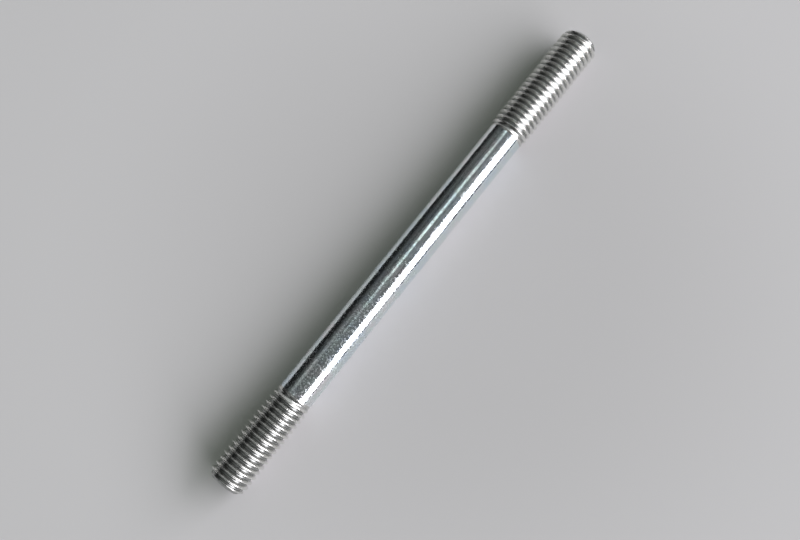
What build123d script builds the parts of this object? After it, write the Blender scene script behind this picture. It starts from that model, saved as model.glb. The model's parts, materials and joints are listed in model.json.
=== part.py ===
from build123d import *
from build123d.topology import SkipClean

import os
from math import ceil, radians, sqrt, tan

# A double-ended stud: one bar with a rolled thread on each end and a plain shank between them.
# Frame: the bar lies along X at rest on the plane z = 0, with the short thread towards -X, the
# long thread towards +X, and the origin under the middle of the bar. Sizes are in millimetres.

# Driving sizes
thread_diameter = 10.0  # across the crests
thread_pitch = 1.5  # from one crest to the next
total_length = 140.0
short_thread = 26.0  # from the end face to where the last groove has run out
long_thread = 32.0
shank_diameter = 9.0  # the bar that the threads are rolled on, thinner than the crests
end_chamfer = 1.2  # 45 degrees, from the crests to below the grooves
run_out_turns = 1.5  # turns over which crests and grooves fade into the shank
flank_angle = 60.0  # between the two sides of one groove

# Thread form: a 60 degree V with an eighth of it cut off at the crest and 7/24 of it at most
# missing on each side of the root
sharp_height = thread_pitch / (2 * tan(radians(flank_angle / 2)))
crest_width = thread_pitch / 8
crest_radius = thread_diameter / 2
root_radius = crest_radius - sharp_height * 17 / 24
shank_radius = shank_diameter / 2
run_out = run_out_turns * thread_pitch
face_radius = crest_radius - end_chamfer

# One turn of the ridge is made of short sectors, so that each has an exact cylindrical crest
sectors_per_turn = 8
sector_angle = 360 / sectors_per_turn
sector_rise = thread_pitch / sectors_per_turn
bury = 0.1  # how far a ridge reaches down into the bar, and up past the crest before it is cut


def ridge_half_width(radius):
    """Half the ridge's thickness at a radius: half the crest plus the slope of one flank."""
    return crest_width / 2 + (crest_radius - radius) * tan(radians(flank_angle / 2))


def threaded_ridge(thread_length):
    """The helical ridge of one thread, as sectors, with the end face on z = 0 and the axis on Z."""
    inner = root_radius - bury
    outer = crest_radius + bury
    with BuildPart() as sector:
        turn = Helix(thread_pitch, sector_rise, root_radius)
        with BuildSketch(Plane.XZ):
            with BuildLine():
                Polyline(
                    (inner, -ridge_half_width(inner)),
                    (outer, -ridge_half_width(outer)),
                    (outer, ridge_half_width(outer)),
                    (inner, ridge_half_width(inner)),
                    close=True,
                )
            make_face()
        sweep(path=turn, is_frenet=True)

    # What the crests may fill: the chamfered end, the crest cylinder, and the cone of the run-out
    fade_slope = (crest_radius - shank_radius) / run_out
    with BuildPart() as envelope:
        with BuildSketch(Plane.XZ):
            with BuildLine():
                Polyline(
                    (0, 0),
                    (face_radius, 0),
                    (crest_radius, end_chamfer),
                    (crest_radius, thread_length - run_out),
                    (shank_radius - bury, thread_length + bury / fade_slope),
                    (0, thread_length + bury / fade_slope),
                    close=True,
                )
            make_face()
        revolve(axis=Axis.Z)

    first = -ceil(ridge_half_width(inner) / sector_rise) - 1
    last = ceil((thread_length + ridge_half_width(inner)) / sector_rise)
    ridge = []
    for step in range(first, last + 1):
        # Half a sector back, so that neither end's slope cuts a crest patch right at its corner
        turns = (step - 0.5) / sectors_per_turn
        here = Location((0, 0, turns * thread_pitch), (0, 0, turns * 360))
        piece = sector.part.moved(here) & envelope.part
        if piece and piece.volume > 0:
            ridge.extend(piece.solids())
    return ridge


short_ridge = threaded_ridge(short_thread)
long_ridge = threaded_ridge(long_thread)
axis_height = max(crest_radius, shank_radius)
from_short_end = Plane((-total_length / 2, 0, axis_height), x_dir=(0, 1, 0), z_dir=(1, 0, 0))
from_long_end = Plane((total_length / 2, 0, axis_height), x_dir=(0, 1, 0), z_dir=(-1, 0, 0))

with BuildPart() as threaded_stud:
    # At each end the core that the grooves go down to, with its chamfer, and the rolled thread.
    # The sectors' faces stay apart, as short patches
    groove_chamfer = root_radius - face_radius
    for end, thread_length, ridge in (
        (from_short_end, short_thread, short_ridge),
        (from_long_end, long_thread, long_ridge),
    ):
        with BuildPart(mode=Mode.PRIVATE) as core:
            with BuildSketch(Plane.XZ):
                with BuildLine():
                    Polyline(
                        (0, 0),
                        (face_radius, 0),
                        (root_radius, groove_chamfer),
                        (root_radius, thread_length - run_out),
                        (shank_radius, thread_length),
                        (0, thread_length),
                        close=True,
                    )
                make_face()
            revolve(axis=Axis.Z)
        with SkipClean():
            add(core.part.moved(end.location))
            add([piece.moved(end.location) for piece in ridge])
    # The plain shank between them
    along = Plane((-total_length / 2, 0, axis_height), x_dir=(1, 0, 0), z_dir=(0, -1, 0))
    with BuildSketch(along):
        with BuildLine():
            Polyline(
                (short_thread, 0),
                (short_thread, shank_radius),
                (total_length - long_thread, shank_radius),
                (total_length - long_thread, 0),
                close=True,
            )
        make_face()
    with SkipClean():
        revolve(axis=Axis((0, 0, axis_height), (1, 0, 0)))

threaded_stud.part.label = "threaded_stud"
os.makedirs("parts", exist_ok=True)
export_step(threaded_stud.part, "parts/threaded_stud.step")
print("volume", round(threaded_stud.part.volume, 1), "mm3, solids", len(threaded_stud.part.solids()))
print("faces", len(threaded_stud.part.faces()), "valid", threaded_stud.part.is_valid)
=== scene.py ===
# %% [markdown]
# # A double-ended threaded stud
#
# The CAD model already holds the stud's real shape and size. This lesson gives it a finish: a finer
# surface with rounded crests and grooves, bright zinc plate, and a pale table with soft window light.
# The first step loads the CAD model as a fixed frame, and reads from it where the stud lies.

import json
import math

import bmesh
import bpy
import numpy as np
from mathutils import Matrix, Vector


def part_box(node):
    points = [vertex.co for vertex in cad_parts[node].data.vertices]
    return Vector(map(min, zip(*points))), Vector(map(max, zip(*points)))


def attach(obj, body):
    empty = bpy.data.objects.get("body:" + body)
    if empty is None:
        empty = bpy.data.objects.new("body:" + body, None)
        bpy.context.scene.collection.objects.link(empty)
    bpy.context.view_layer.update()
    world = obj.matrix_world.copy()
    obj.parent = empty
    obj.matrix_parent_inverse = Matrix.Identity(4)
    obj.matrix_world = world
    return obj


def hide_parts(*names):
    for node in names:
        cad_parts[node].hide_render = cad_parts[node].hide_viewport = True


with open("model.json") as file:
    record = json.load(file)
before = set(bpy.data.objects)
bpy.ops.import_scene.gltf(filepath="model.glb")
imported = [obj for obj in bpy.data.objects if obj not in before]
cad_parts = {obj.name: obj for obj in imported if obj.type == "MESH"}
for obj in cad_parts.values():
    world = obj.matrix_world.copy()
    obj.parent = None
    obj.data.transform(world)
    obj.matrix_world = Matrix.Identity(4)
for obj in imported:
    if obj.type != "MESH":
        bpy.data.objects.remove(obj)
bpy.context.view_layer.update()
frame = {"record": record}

MM = 0.001
low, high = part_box("threaded_stud")
mounts = {mount["name"]: mount for mount in frame["record"]["mounts"]}
crest_radius = mounts["long_thread"]["dims"]["r_mm"] * MM
half_length = (high.x - low.x) / 2
axis_height = low.z + crest_radius
print("stud:", round(2 * half_length / MM, 2), "mm long, crests", 2 * crest_radius / MM, "mm across")

# %% [markdown]
# ## The camera
#
# The camera looks down on the stud, a little from the side of the short thread and a little from
# its right. Such a view could be set by hand, but angles and a distance say it more clearly: the
# lean along the stud, the lean across it, and the slope that the stud has in the view. Near as it
# is, its perspective makes the far thread visibly finer than the near one.

# %% Camera
LENS_MM = 38.25
SENSOR_MM = 36.0
CAMERA_DISTANCE = 0.207
LEAN_ALONG = math.radians(6.9)
LEAN_ACROSS = math.radians(10.0)
SLOPE_IN_VIEW = math.radians(51.1)
AIM_ALONG = -4.7 * MM
AIM_ACROSS = -0.55 * MM
aim = Vector((AIM_ALONG, AIM_ACROSS, axis_height))


def camera_axes():
    """Right, up and backward vectors: backward leans from the zenith, and the stud's axis, seen
    along it, rises to the right by the wanted slope."""
    backward = Vector((-math.tan(LEAN_ALONG), -math.tan(LEAN_ACROSS), 1)).normalized()
    along = Vector((1, 0, 0))
    along = (along - along.dot(backward) * backward).normalized()
    across = backward.cross(along)
    right = math.cos(SLOPE_IN_VIEW) * along - math.sin(SLOPE_IN_VIEW) * across
    return right, backward.cross(right), backward


right, up, backward = camera_axes()
camera_data = bpy.data.cameras.new("camera")
camera_data.lens = LENS_MM
camera_data.sensor_width = SENSOR_MM
camera_data.clip_start = 0.01
camera = bpy.data.objects.new("camera", camera_data)
camera.matrix_world = Matrix.Translation(aim + CAMERA_DISTANCE * backward) @ (
    Matrix((right, up, backward)).transposed().to_4x4()
)
bpy.context.scene.collection.objects.link(camera)
bpy.context.scene.camera = camera
bpy.context.scene.view_settings.view_transform = "Standard"
print("camera at", [round(c / MM) for c in camera.matrix_world.translation], "mm")

# %% [markdown]
# ## The shape of one groove
#
# A rolled metric thread is a 60 degree V whose groove ends in a small arc, and whose crest is
# rounded by the rolling. It could be drawn as straight lines with a bevel afterwards, but a formula
# for the radius, as a function of the distance from the nearest crest, gives the arcs exactly.

# %% Thread form
PITCH = 1.5 * MM
CREST_ROUNDING = 0.10 * MM
FLANK_ANGLE = math.radians(30)
SIN_FLANK = math.sin(FLANK_ANGLE)
COS_FLANK = math.cos(FLANK_ANGLE)
TAN_FLANK = math.tan(FLANK_ANGLE)
GROOVE_DEPTH_SHARE = 17 / 24  # of the height of a sharp 60 degree V
crest_half_width = PITCH / 16
sharp_root_radius = crest_radius - (PITCH / 2 - crest_half_width) / TAN_FLANK
root_radius = crest_radius - GROOVE_DEPTH_SHARE * (PITCH / 2) / TAN_FLANK
root_rounding = root_radius - sharp_root_radius
root_arc_centre = sharp_root_radius + root_rounding / SIN_FLANK
root_arc_start = PITCH / 2 - root_rounding * COS_FLANK
crest_flat = crest_half_width + CREST_ROUNDING * (TAN_FLANK * SIN_FLANK - COS_FLANK)
crest_arc_end = crest_flat + CREST_ROUNDING * COS_FLANK


def thread_radius(along):
    """Radius at a distance along the axis: flat at the crest, then an arc, the 30 degree flank as
    a straight line, and an arc through the root, the same on both sides of the crest."""
    side = np.abs((along + PITCH / 2) % PITCH - PITCH / 2)
    on_arc = np.clip(side - crest_flat, 0, CREST_ROUNDING * COS_FLANK)
    crest = crest_radius - CREST_ROUNDING + np.sqrt(CREST_ROUNDING**2 - on_arc**2)
    flank = crest_radius - (side - crest_half_width) / TAN_FLANK
    in_groove = np.clip(PITCH / 2 - side, 0, root_rounding * COS_FLANK)
    root = root_arc_centre - np.sqrt(root_rounding**2 - in_groove**2)
    return np.where(side < crest_arc_end, crest, np.where(side < root_arc_start, flank, root))


def rows_of_one_pitch():
    """Distances from the crest at which the grid has a row: close together on the two arcs."""
    half = np.concatenate([
        [0.0, crest_flat],
        np.linspace(crest_flat, crest_arc_end, 5)[1:],
        np.linspace(crest_arc_end, root_arc_start, 4)[1:],
        np.linspace(root_arc_start, PITCH / 2, 5)[1:-1],
    ])
    return np.concatenate([-half[:0:-1], half, [PITCH / 2]])


print("groove depth", round((crest_radius - root_radius) / MM, 3), "mm, rows", len(rows_of_one_pitch()))

# %% [markdown]
# ## The threaded ends
#
# A helical groove is awkward as stacked rings, so the grid itself is wound up: each row of points
# climbs by one pitch in a turn and joins the row one pitch further on. Rows that would pass the end
# face or the shank stop there and are welded. The radius is the groove's formula, limited by the
# chamfer's cone, and both the crest and the root fade into the shank over the last turns.

# %% Threaded end
COLUMNS = 80
SHORT_THREAD = 26 * MM
LONG_THREAD = 32 * MM
SHANK_RADIUS = 4.5 * MM
END_CHAMFER = 1.2 * MM
RUN_OUT = 1.5 * PITCH
EDGE_ROUNDING = 0.05 * MM
WELD = 0.002 * MM


def soft_minimum(a, b):
    """The smaller of two lengths, with the corner between them rounded off as a hyperbola."""
    return (a + b - np.sqrt((a - b) ** 2 + EDGE_ROUNDING**2)) / 2


def threaded_end(thread_length):
    """Points (u, radius, angle) and quads of one threaded end, u counted from the end face. The
    point on row w and at turn fraction t has u = w + pitch * t, held between face and shank."""
    pitch_rows = rows_of_one_pitch()
    turns = math.ceil(thread_length / PITCH) + 2
    rows = (np.arange(-1, turns)[:, None] * PITCH + pitch_rows).ravel()
    turn = np.arange(COLUMNS) / COLUMNS
    u = np.clip(rows[:, None] + PITCH * turn, 0, thread_length)
    thread = thread_radius(rows)[:, None] + 0 * u
    fade = np.clip((thread_length - u) / RUN_OUT, 0, 1)
    radius = SHANK_RADIUS + (thread - SHANK_RADIUS) * fade
    cone = crest_radius - END_CHAMFER + u
    radius = np.where(u <= 0, cone, soft_minimum(radius, cone))
    points = np.stack([u, radius, 2 * np.pi * turn + 0 * u], axis=-1).reshape(-1, 3)

    rows_with_quads = np.arange(len(rows) - len(pitch_rows) - 1)
    row, column = np.meshgrid(rows_with_quads, np.arange(COLUMNS), indexing="ij")
    wrap = (column == COLUMNS - 1) * len(pitch_rows)
    here = row * COLUMNS + column
    beside = (row + wrap) * COLUMNS + (column + 1) % COLUMNS
    quads = np.stack([here, beside, beside + COLUMNS, here + COLUMNS], axis=-1).reshape(-1, 4)
    return points, quads


ends = {}
for name, thread_length in (("short", SHORT_THREAD), ("long", LONG_THREAD)):
    ends[name] = threaded_end(thread_length)
    print(name, "thread:", len(ends[name][1]), "quads")

# %% [markdown]
# ## The shank and the end faces
#
# Both are surfaces of revolution: rings of points, one after the other, joined by quads. The shank
# gets a ring every millimetre and a half. Each end face gets rings down to one of radius 0, whose
# points the weld makes into one, so that a fan of triangles closes the face at its pole.

# %% Rings
def ring_grid(u, radius):
    """Points (u, radius, angle) on rings at the given places and radii, and the quads between."""
    angle = 2 * np.pi * np.arange(COLUMNS) / COLUMNS
    points = np.stack(np.broadcast_arrays(u[:, None], radius[:, None], angle), axis=-1).reshape(-1, 3)
    row, column = np.meshgrid(np.arange(len(u) - 1), np.arange(COLUMNS), indexing="ij")
    here = row * COLUMNS + column
    beside = row * COLUMNS + (column + 1) % COLUMNS
    quads = np.stack([here, beside, beside + COLUMNS, here + COLUMNS], axis=-1).reshape(-1, 4)
    return points, quads


SHANK_RINGS = 56
face_radius = crest_radius - END_CHAMFER
inner_radii = np.array([0.0, 0.4, 1.2, 2.0, 2.8, 3.4]) * MM
face_radii = np.concatenate([inner_radii, [face_radius - EDGE_ROUNDING, face_radius]])
face = ring_grid(0 * face_radii, face_radii)
shank_start = -half_length + SHORT_THREAD
shank_end = half_length - LONG_THREAD
shank_u = np.linspace(shank_start, shank_end, SHANK_RINGS) + half_length
shank = ring_grid(shank_u, SHANK_RADIUS + 0 * shank_u)
print("shank rings:", len(shank_u), "face rings:", len(face_radii))

# %% [markdown]
# ## One closed surface
#
# The pieces of the grid are put in place by their formulas and welded where they meet. The long
# end is turned half a turn about the vertical, not mirrored: a mirror would make its thread
# left-handed.

# %% Assemble the stud
def on_the_bar(points, turned):
    """(u, radius, angle) to x, y, z: u from the short end's face, or, turned about the vertical,
    from the long end's. x is u less half the length, y is radius times the angle's cosine, and z
    is the axis height plus radius times its sine."""
    u, radius, angle = points.T
    side = -1 if turned else 1
    x = side * (u - half_length)
    y = side * radius * np.cos(angle)
    z = axis_height + radius * np.sin(angle)
    return np.stack([x, y, z], axis=-1)


def weld_and_link(name, parts):
    """Makes one mesh of several pairs of points and quads, welds what meets, and links it."""
    count = 0
    all_points, all_quads = [], []
    for points, quads in parts:
        all_points.append(points)
        all_quads.append(quads + count)
        count += len(points)
    mesh = bpy.data.meshes.new(name)
    mesh.from_pydata(np.concatenate(all_points), [], np.concatenate(all_quads))
    shape = bmesh.new()
    shape.from_mesh(mesh)
    bmesh.ops.remove_doubles(shape, verts=shape.verts, dist=WELD)
    bmesh.ops.recalc_face_normals(shape, faces=shape.faces)
    open_edges = sum(not edge.is_manifold for edge in shape.edges)
    volume = shape.calc_volume(signed=True)
    shape.to_mesh(mesh)
    shape.free()
    mesh.shade_smooth()
    piece = bpy.data.objects.new(name, mesh)
    bpy.context.scene.collection.objects.link(piece)
    triangles = sum(len(polygon.vertices) - 2 for polygon in mesh.polygons)
    print(name, triangles, "triangles,", open_edges, "open edges,", round(volume / MM**3), "mm3")
    return piece


parts = [(on_the_bar(shank[0], False), shank[1])]
for name, turned in (("short", False), ("long", True)):
    parts.append((on_the_bar(ends[name][0], turned), ends[name][1]))
    parts.append((on_the_bar(face[0], turned), face[1]))
stud = weld_and_link("stud", parts)
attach(stud, "root")
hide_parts("threaded_stud")

# %% [markdown]
# ## A little shader arithmetic
#
# Finishes are easier to read as formulas than as a web of nodes. This class wraps a socket of a
# node tree, so that sums and products of sockets add the Math nodes by themselves, and one method
# adds any other kind of node.

# %% Node helper
class Value:
    """A socket in a node tree; arithmetic on it adds a Math node and gives the result's socket."""

    def __init__(self, tree, socket=None):
        self.tree = tree
        self.socket = socket

    def node(self, kind, settings=None, inputs=None, output=0):
        """Adds a node of a kind: its settings first, then its inputs from numbers or Values."""
        made = self.tree.nodes.new(kind)
        for key, setting in (settings or {}).items():
            setattr(made, key, setting)
        for key, value in (inputs or {}).items():
            if isinstance(value, Value):
                self.tree.links.new(value.socket, made.inputs[key])
            else:
                made.inputs[key].default_value = value
        return Value(self.tree, made.outputs[output])

    def math(self, operation, *operands):
        """Adds a Math node with that operation on numbers or Values."""
        return self.node("ShaderNodeMath", {"operation": operation}, dict(enumerate(operands)))

    def __add__(self, other):
        return self.math("ADD", self, other)

    def __radd__(self, other):
        return self.math("ADD", other, self)

    def __rsub__(self, other):
        return self.math("SUBTRACT", other, self)

    def __mul__(self, other):
        return self.math("MULTIPLY", self, other)

    def __rmul__(self, other):
        return self.math("MULTIPLY", other, self)

    def __truediv__(self, other):
        return self.math("DIVIDE", self, other)

    def ramp(self, low_value, high_value):
        """0 below one value and 1 above the other, with a smooth step between them."""
        return self.node(
            "ShaderNodeMapRange",
            {"interpolation_type": "SMOOTHSTEP"},
            {"Value": self, "From Min": low_value, "From Max": high_value},
        )

    def mix(self, color_a, color_b):
        """A colour between two, by this factor."""
        return self.node(
            "ShaderNodeMix", {"data_type": "RGBA"}, {"Factor": self, 6: color_a, 7: color_b}, 2
        )

    def noise(self, point, size, detail, roughness=0.5):
        """Noise from 0 to 1 that changes over about so many metres, in grains half as large."""
        inputs = {"Vector": point, "Scale": 1 / size, "Detail": detail, "Roughness": roughness}
        return self.node("ShaderNodeTexNoise", {}, inputs)


def new_material(name):
    """A new material, its node tree, and the Principled shader in it."""
    material = bpy.data.materials.new(name)
    material.use_nodes = True
    tree = material.node_tree
    return material, tree, tree.nodes["Principled BSDF"]


# %% [markdown]
# ## Bright zinc plate
#
# Zinc is a cool, slightly blue metal. Plated on a drawn bar it is bright but never a mirror: a fine
# grain, a third of a millimetre across, breaks every reflection into glitter, more so towards the
# short thread, and faint lines run along the bar. Its thin clear passivation film adds patches of
# green, pink and blue. The rolled threads are smoother and warmer. Their grooves are darker, partly
# for the duller plate there and partly as painted shade in the recess. The grain and lines go to
# the bump, specks to the roughness, and the film and the painted groove shade to the colour.

# %% Zinc material
BLUISH = (0.75, 0.85, 0.93, 1.0)
PINKISH = (0.90, 0.89, 0.91, 1.0)
GREENISH = (0.80, 0.89, 0.88, 1.0)
ROLLED = (0.84, 0.84, 0.81, 1.0)
# The grooves' colour: partly duller plate, partly painted shade in the recess.
GROOVE_DULL_PLATE_AND_SHADE = (0.40, 0.41, 0.40, 1.0)
LINE_SHAPE = 0.06  # the width of a drawn line over its length
FADE = 0.3 * MM  # from the threads' finish to the shank's
COARSE_UNTIL = -40 * MM
FINE_FROM = 15 * MM


def zinc_plate():
    """Zinc on the bar. The bump's height is 1.2 times the grain, which fades along the shank and is
    absent on the threads, plus 0.25 of a wider pebble and 0.35 of the lines. Roughness is 0.1 on the
    shank and 0.2 on the threads, plus a little in patches and grooves, and up to 0.22 in specks."""
    material, tree, surface = new_material("zinc_plated_steel")
    start = Value(tree)
    point = start.node("ShaderNodeTexCoord", output="Object")
    stretched = start.node(
        "ShaderNodeVectorMath", {"operation": "MULTIPLY"}, {0: point, 1: (LINE_SHAPE, 1.0, 1.0)}
    )
    above_axis = start.node(
        "ShaderNodeVectorMath", {"operation": "SUBTRACT"}, {0: point, 1: (0.0, 0.0, axis_height)}
    )
    from_axis = start.node(
        "ShaderNodeVectorMath", {"operation": "MULTIPLY"}, {0: above_axis, 1: (0.0, 1.0, 1.0)}
    )
    radius = start.node("ShaderNodeVectorMath", {"operation": "LENGTH"}, {0: from_axis}, "Value")
    x = start.node("ShaderNodeSeparateXYZ", {}, {0: point}, "X")
    past_short = x.ramp(shank_start, shank_start + FADE)
    before_long = 1 - x.ramp(shank_end - FADE, shank_end)
    on_shank = past_short * before_long
    groove_floor = root_radius + 0.1 * MM
    groove_edge = crest_radius - 0.25 * MM
    in_groove = (1 - on_shank) * (1 - radius.ramp(groove_floor, groove_edge))
    coarse = on_shank * (1 - 0.45 * x.ramp(COARSE_UNTIL, FINE_FROM))

    grain = start.noise(point, 0.6 * MM, 2.0, 0.6)
    specks = coarse * start.noise(point, 0.5 * MM, 1.0).ramp(0.48, 0.66)
    pebble = start.noise(point, 1.1 * MM, 1.0)
    lines = start.noise(stretched, 0.35 * MM, 2.0)
    film = start.noise(point, 7.0 * MM, 2.0).ramp(0.35, 0.65)
    patches = start.noise(point, 2.2 * MM, 2.0).ramp(0.3, 0.7)

    height = grain * coarse * 1.2 + pebble * 0.25 + lines * 0.35
    bump = start.node(
        "ShaderNodeBump", {}, {"Height": height, "Strength": 1.0, "Distance": 0.03 * MM}
    )
    bright = patches.mix(film.mix(BLUISH, PINKISH), GREENISH)
    rolled = on_shank.mix(ROLLED, bright)
    # Darker in the grooves: partly duller plate, partly painted shade in the recess.
    color = in_groove.mix(rolled, GROOVE_DULL_PLATE_AND_SHADE)
    roughness = 0.20 - 0.10 * on_shank + 0.04 * patches + 0.08 * in_groove + 0.22 * specks
    surface.inputs["Metallic"].default_value = 1.0
    tree.links.new(color.socket, surface.inputs["Base Color"])
    tree.links.new(roughness.socket, surface.inputs["Roughness"])
    tree.links.new(bump.socket, surface.inputs["Normal"])
    return material


stud.data.materials.append(zinc_plate())
print("material:", stud.data.materials[0].name)

# %% [markdown]
# ## The table
#
# The stud lies on pale card, which is part of the stage and not of the object. One flat rectangle is
# enough for that. The card is a little darker in the middle, as under whoever leans over it, and a
# colour that changes with the distance from there says that more simply than a lamp would.

# %% Table
def flat_rectangle(name, half_x, half_y):
    """A rectangle on z = 0, facing up."""
    corners = [(-half_x, -half_y, 0), (half_x, -half_y, 0), (half_x, half_y, 0), (-half_x, half_y, 0)]
    mesh = bpy.data.meshes.new(name)
    mesh.from_pydata(corners, [], [(0, 1, 2, 3)])
    piece = bpy.data.objects.new(name, mesh)
    bpy.context.scene.collection.objects.link(piece)
    return piece


CARD_COLOR = (0.502, 0.497, 0.502, 1.0)
CARD_COLOR_FAR = (0.57, 0.565, 0.572, 1.0)
TABLE_HALF_SIDE = 0.45
SHADE_TO_THE_RIGHT = 15 * MM
SHADE_INNER_RADIUS = 30 * MM
SHADE_OUTER_RADIUS = 110 * MM
shade_centre = aim + SHADE_TO_THE_RIGHT * right
table = flat_rectangle("table", TABLE_HALF_SIDE, TABLE_HALF_SIDE)
table.location.z = low.z
material, tree, surface = new_material("pale_card")
start = Value(tree)
point = start.node("ShaderNodeTexCoord", output="Object")
centre = (shade_centre.x, shade_centre.y, 0.0)
from_centre = start.node("ShaderNodeVectorMath", {"operation": "SUBTRACT"}, {0: point, 1: centre})
distance = start.node("ShaderNodeVectorMath", {"operation": "LENGTH"}, {0: from_centre}, "Value")
outside_shade = distance.ramp(SHADE_INNER_RADIUS, SHADE_OUTER_RADIUS)
card_color = outside_shade.mix(CARD_COLOR, CARD_COLOR_FAR)
tree.links.new(card_color.socket, surface.inputs["Base Color"])
surface.inputs["Roughness"].default_value = 0.9
surface.inputs["Specular IOR Level"].default_value = 0.2
table.data.materials.append(material)
print("table:", 2 * TABLE_HALF_SIDE, "m square at z =", round(table.location.z, 6))

# %% [markdown]
# ## The window
#
# The long white highlight and the soft shadow come from one large window, low on the right, whose
# near end is by the long thread. A rectangular area lamp does both at once. A small lamp would give
# a thin highlight and a hard shadow. The camera doesn't see the lamp itself.

# %% Window panel
WINDOW_YAW = math.radians(39)
WINDOW_CENTRE = (0.42, -2.75)
WINDOW_WIDTH = 6.5
WINDOW_LOW = 0.58
WINDOW_HIGH = 2.55
WINDOW_COLOR = (0.975, 0.945, 1.0)
WINDOW_WATTS = 246
window_data = bpy.data.lights.new("window", "AREA")
window_data.shape = "RECTANGLE"
window_data.size = WINDOW_WIDTH
window_data.size_y = WINDOW_HIGH - WINDOW_LOW
window_data.color = WINDOW_COLOR
window_data.energy = WINDOW_WATTS
window = bpy.data.objects.new("window", window_data)
window.matrix_world = (
    Matrix.Translation((*WINDOW_CENTRE, (WINDOW_LOW + WINDOW_HIGH) / 2))
    @ Matrix.Rotation(WINDOW_YAW, 4, "Z")
    @ Matrix.Rotation(math.radians(90), 4, "X")
)
window.visible_camera = False
bpy.context.scene.collection.objects.link(window)
print("window:", WINDOW_WIDTH, "by", round(window_data.size_y, 2), "m")

# %% [markdown]
# ## The world
#
# A dim, slightly green world fills the shadow with the light of the rest of the room. Beyond the
# table's edge the camera would see it as a dark backdrop, so a Mix Shader shows camera rays a pale
# one instead, which lights nothing.

# %% World
FILL_COLOR = (0.90, 1.0, 0.88, 1.0)
FILL_STRENGTH = 0.27
BACKDROP_COLOR = (0.52, 0.52, 0.525, 1.0)
world = bpy.data.worlds.new("world")
world.use_nodes = True
tree = world.node_tree
fill_light = tree.nodes["Background"]
fill_light.inputs["Color"].default_value = FILL_COLOR
fill_light.inputs["Strength"].default_value = FILL_STRENGTH
backdrop = tree.nodes.new("ShaderNodeBackground")
backdrop.inputs["Color"].default_value = BACKDROP_COLOR
ray = tree.nodes.new("ShaderNodeLightPath")
by_ray = tree.nodes.new("ShaderNodeMixShader")
tree.links.new(ray.outputs["Is Camera Ray"], by_ray.inputs[0])
tree.links.new(fill_light.outputs[0], by_ray.inputs[1])
tree.links.new(backdrop.outputs[0], by_ray.inputs[2])
tree.links.new(by_ray.outputs[0], tree.nodes["World Output"].inputs["Surface"])
bpy.context.scene.world = world
print("world:", len(tree.nodes), "nodes")

# %% [markdown]
# ## The room in the reflections
#
# Polished metal shows its whole room. A room of walls and furniture would do, but what a bar shows
# of it is only bands along its length, so a dome that only reflections can see is enough. It is a
# half sphere, large enough to have the window inside it.

# %% Room dome
ROOM_RADIUS = 9.0
ROOM_RINGS = 24
ROOM_COLUMN_DEGREES = 7.5


def room_dome():
    """A half sphere from just below the horizon, facing inwards: z is its radius times the sine of
    the elevation, and x and y are its radius times the cosine, times the azimuth's cosine and
    sine."""
    elevation = np.radians(np.linspace(-1, 90, ROOM_RINGS))
    azimuth = np.radians(np.arange(0, 360, ROOM_COLUMN_DEGREES))
    level, around = np.meshgrid(elevation, azimuth, indexing="ij")
    points = ROOM_RADIUS * np.stack(
        [np.cos(level) * np.cos(around), np.cos(level) * np.sin(around), np.sin(level)], axis=-1
    )
    row, column = np.meshgrid(np.arange(len(elevation) - 1), np.arange(len(azimuth)), indexing="ij")
    here = row * len(azimuth) + column
    beside = row * len(azimuth) + (column + 1) % len(azimuth)
    quads = np.stack([here, here + len(azimuth), beside + len(azimuth), beside], axis=-1)
    mesh = bpy.data.meshes.new("room")
    mesh.from_pydata(points.reshape(-1, 3), [], quads.reshape(-1, 4))
    piece = bpy.data.objects.new("room", mesh)
    bpy.context.scene.collection.objects.link(piece)
    return piece


room = room_dome()
print("room:", len(room.data.polygons), "faces")

# %% [markdown]
# ## The light of the room
#
# The dome is dark towards the horizon, and grey and uneven above. It has a thin strip lamp over the
# middle and the long end, a shelf over the short end on the side away from the window, and a
# brighter wall far off beyond the long end. All of this is a formula of two measures of direction.
# Lean is how far a direction tips from straight up to either side of the bar, so a band of equal
# lean shows as a band along the bar. Reach is how far it tips along the bar, and ends a band partway.

# %% Room material
LAMP_LEAN = -4.5
LAMP_HALF_WIDTH = 6
LAMP_GLOW = 1.25
SHELF_LEAN = -27
SHELF_HALF_WIDTH = 7
SHELF_GLOW = 0.30
FAR_WALL_GLOW = 0.5
DARKEST_GLOW = 0.012
EDGE_PER_REACH = 42
ROOM_TINT = (0.97, 1.0, 1.0, 1.0)
LAMP_TINT = (0.86, 1.0, 0.96, 1.0)


def strip(lean, middle, half_width):
    """1 at a strip's middle, falling smoothly to 0 at twice its half width on either side."""
    rise = lean.ramp(middle - 2 * half_width, middle)
    return rise * (1 - lean.ramp(middle, middle + 2 * half_width))


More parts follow.
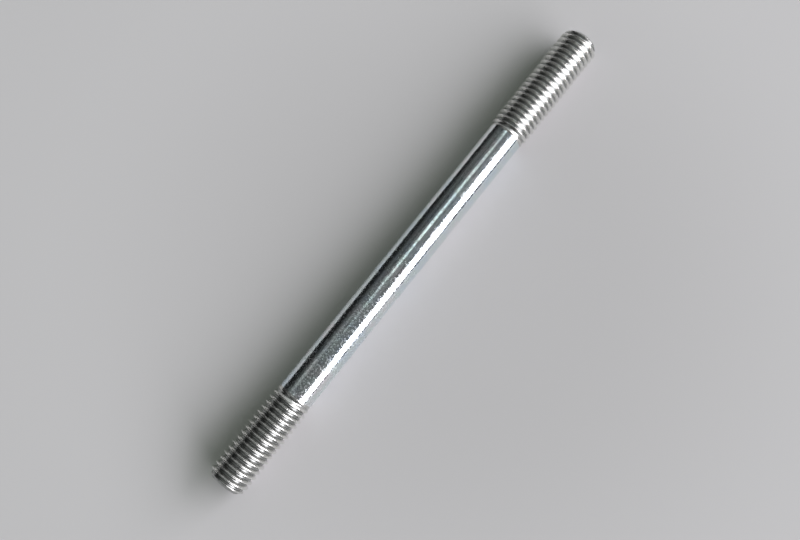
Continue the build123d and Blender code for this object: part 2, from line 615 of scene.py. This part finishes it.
def room_material():
    """Lean is the angle from z towards -y, in degrees, and reach is x over the length of (y, z).
    The ceiling's glow starts at an edge that moves away as reach grows, rises with lean, and is
    made uneven by a noise. The lamp, the shelf and the far wall add to it."""
    material = bpy.data.materials.new("room_walls")
    material.use_nodes = True
    tree = material.node_tree
    tree.nodes.clear()
    start = Value(tree)
    point = start.node("ShaderNodeTexCoord", output="Object")
    unit = start.node("ShaderNodeVectorMath", {"operation": "NORMALIZE"}, {0: point})
    x = start.node("ShaderNodeSeparateXYZ", {}, {0: unit}, "X")
    y = start.node("ShaderNodeSeparateXYZ", {}, {0: unit}, "Y")
    z = start.node("ShaderNodeSeparateXYZ", {}, {0: unit}, "Z")
    lean = start.math("ARCTAN2", -1 * y, z) * (180 / math.pi)
    reach = x / start.math("SQRT", y * y + z * z)

    from_edge = lean + EDGE_PER_REACH * reach
    lit = from_edge.ramp(-60, -50) * (1 - lean.ramp(70, 78))
    ceiling = 0.045 + 0.035 * from_edge.ramp(-55, -30) + 0.06 * lean.ramp(-15, 30)
    clutter = 0.35 + 1.3 * start.noise(unit, 0.14, 1.0).ramp(0.35, 0.65)
    lamp_length = reach.ramp(0.0, 0.16) * (1 - 0.72 * reach.ramp(0.2, 0.36))
    lamp = strip(lean, LAMP_LEAN, LAMP_HALF_WIDTH) * lamp_length
    shelf = strip(lean, SHELF_LEAN, SHELF_HALF_WIDTH) * (1 - reach.ramp(-0.02, 0.06))
    far_wall = FAR_WALL_GLOW * reach.ramp(0.8, 1.6)
    strips = LAMP_GLOW * lamp + SHELF_GLOW * shelf + far_wall
    brightness = DARKEST_GLOW + ceiling * lit * clutter + strips
    tint = lamp.mix(ROOM_TINT, LAMP_TINT)
    color = start.node("ShaderNodeVectorMath", {"operation": "SCALE"}, {0: tint, "Scale": brightness})
    glow = start.node("ShaderNodeEmission", {}, {"Color": color, "Strength": 1.0})
    out = tree.nodes.new("ShaderNodeOutputMaterial")
    tree.links.new(glow.socket, out.inputs["Surface"])
    return material


room.data.materials.append(room_material())
room.visible_camera = False
room.visible_diffuse = False
room.visible_shadow = False
room.visible_transmission = False
print("room light:", len(room.data.materials[0].node_tree.nodes), "nodes")
